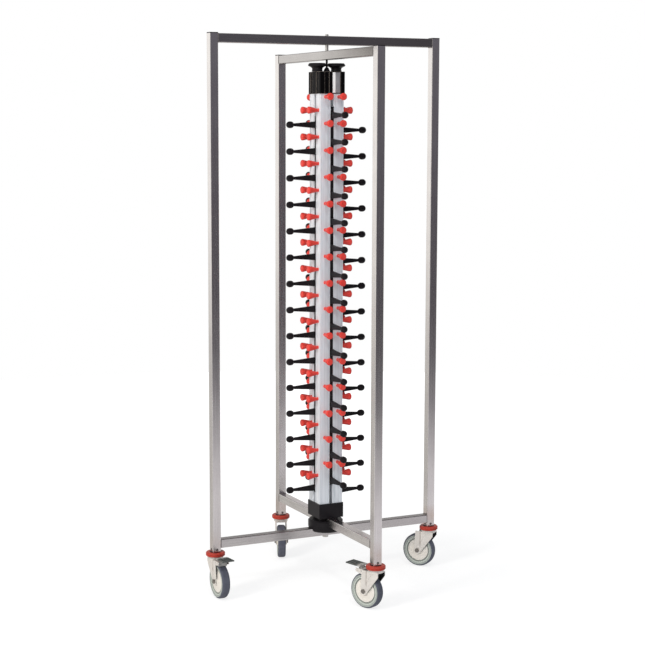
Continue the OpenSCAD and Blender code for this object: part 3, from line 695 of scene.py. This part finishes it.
LAMPS = (  # name, place, target, size, power, colour
    ("key_left", (-3.7, -1.5, 2.1), (0, 0, 0.85), (0.9, 2.2), 110, (1.0, 0.965, 0.92)),
    ("top_soft", (-0.4, -0.9, 4.8), (0, 0, 0.7), (2.2, 2.2), 25, WHITE),
    ("front_soft", (-1.0, -3.3, 3.6), (0, 0, 0.85), (0.45, 0.45), 32, WHITE))


def seen_rays(tree):
    """Gives 1 for camera, glossy and transmission rays, and then 1 for glossy rays only."""
    path = add(tree, "ShaderNodeLightPath").outputs
    direct = scalar(tree, "MAXIMUM", path["Is Camera Ray"], path["Is Glossy Ray"])
    return scalar(tree, "MAXIMUM", direct, path["Is Transmission Ray"]), path["Is Glossy Ray"]


def shader_mix(tree, factor, first, second):
    node = add(tree, "ShaderNodeMixShader")
    for socket, link in zip(node.inputs, (factor, first, second)):
        tree.links.new(link, socket)
    return node.outputs["Shader"]


def shader(tree, kind, colour, strength=None):
    node = add(tree, kind)
    feed(tree, node.inputs["Color"], (*colour, 1.0) if isinstance(colour, tuple) else colour)
    if strength is not None:
        feed(tree, node.inputs["Strength"], strength)
    return node.outputs[0]


def floor_material():
    """White to the camera, with the rack's shadow; polished metal sees it fade out
    towards the unlit side."""
    mat = bpy.data.materials.new("floor_white")
    mat.use_nodes = True
    tree = mat.node_tree
    tree.nodes.clear()
    point = object_point(tree)
    radius = vector(tree, "LENGTH", point)
    both = add(tree, "ShaderNodeAddShader")
    tree.links.new(shader(tree, "ShaderNodeBsdfDiffuse", FLOOR_SOFT), both.inputs[0])
    tree.links.new(shader(tree, "ShaderNodeEmission", WHITE, span(tree, radius, *FLOOR_GLOW)),
                   both.inputs[1])
    start, end = MIRROR_SIDE[0][0], MIRROR_SIDE[-1][0]
    side = step(tree, vector(tree, "DOT_PRODUCT", point, DARK_SIDE), start, end)
    stops = [((at - start) / (end - start), tone) for at, tone in MIRROR_SIDE]
    mirrored = shader(tree, "ShaderNodeEmission", ramp(tree, side, stops),
                      span(tree, radius, *MIRROR_GLOW))
    seen, glossy = seen_rays(tree)
    pale = shader(tree, "ShaderNodeBsdfDiffuse", FLOOR_PALE)
    shown = shader_mix(tree, seen, pale, both.outputs["Shader"])
    out = add(tree, "ShaderNodeOutputMaterial")
    tree.links.new(shader_mix(tree, glossy, shown, mirrored), out.inputs["Surface"])
    return mat


def lay_floor():
    mesh = bpy.data.meshes.new("floor")
    corners = [(FLOOR_R * x, FLOOR_R * y, 0) for x, y in on_circle(FLOOR_SIDES)]
    mesh.from_pydata(corners, [], [tuple(range(FLOOR_SIDES))])
    obj = bpy.data.objects.new("floor", mesh)
    bpy.context.scene.collection.objects.link(obj)
    mesh.materials.append(floor_material())


def build_world():
    """White to the camera. Metal mirrors the studio's pale walls, their foot and the
    ceiling, and its unlit side. The dome that lights the rack is warm on the left."""
    world = bpy.data.worlds.new("studio")
    bpy.context.scene.world = world
    world.use_nodes = True
    tree = world.node_tree
    tree.nodes.clear()
    ray = add(tree, "ShaderNodeTexCoord").outputs["Generated"]
    height = part_of(tree, ray, "Z")
    side = vector(tree, "DOT_PRODUCT", ray, DARK_SIDE)
    wall = mixed(tree, smooth_step(tree, height, *WALL_FOOT_Z), WALL_FOOT, WALL)
    wall = mixed(tree, smooth_step(tree, height, *CEILING_Z), wall, CEILING)
    unlit = mixed(tree, smooth_step(tree, height, *UNLIT_Z), UNLIT_FOOT, UNLIT)
    mirrored = mixed(tree, smooth_step(tree, side, *UNLIT_TURN), wall, unlit)
    seen, glossy = seen_rays(tree)
    shown = shader(tree, "ShaderNodeBackground", mixed(tree, glossy, WHITE, mirrored), 1.0)
    tint = mixed(tree, smooth_step(tree, side, *DOME_TURN), DOME_WARM, DOME_COOL)
    dome = shader(tree, "ShaderNodeBackground", tint, DOME_STRENGTH)
    out = add(tree, "ShaderNodeOutputWorld")
    tree.links.new(shader_mix(tree, seen, dome, shown), out.inputs["Surface"])


def area_light(name, spot, target, size, power, colour):
    data = bpy.data.lights.new(name, "AREA")
    data.shape = "RECTANGLE"
    data.size, data.size_y = size
    data.energy = power
    data.color = colour
    obj = bpy.data.objects.new(name, data)
    bpy.context.scene.collection.objects.link(obj)
    obj.location = spot
    obj.rotation_euler = (Vector(target) - Vector(spot)).to_track_quat("-Z", "Y").to_euler()
    # the steel mirrors the studio's walls; a lamp mirrored in the tubes' round edges would sparkle
    obj.visible_glossy = False


lay_floor()
build_world()
for lamp in LAMPS:
    area_light(*lamp)


# camera

PHOTO_PX = 645.0
SENSOR_MM = 36.0
FOCAL_PX = 1567.1
YAW = math.radians(25.0)
PITCH = math.radians(7.13)
SIDE, DIST, HEIGHT = 0.1037, 4.508, 1.332
SHIFT_X = 0.05
CLIP = (0.05, 60.0)

cam_data = bpy.data.cameras.new("camera")
cam = bpy.data.objects.new("camera", cam_data)
bpy.context.scene.collection.objects.link(cam)
cam_data.sensor_fit = "HORIZONTAL"
cam_data.sensor_width = SENSOR_MM
cam_data.lens = FOCAL_PX / PHOTO_PX * SENSOR_MM
cam_data.shift_x = SHIFT_X
cam_data.clip_start, cam_data.clip_end = CLIP
cam.location = (-SIDE * math.cos(YAW) - DIST * math.sin(YAW),
                SIDE * math.sin(YAW) - DIST * math.cos(YAW), HEIGHT)
cam.rotation_euler = (math.radians(90) - PITCH, 0.0, -YAW)
bpy.context.scene.camera = cam
bpy.context.scene.view_settings.view_transform = "Standard"
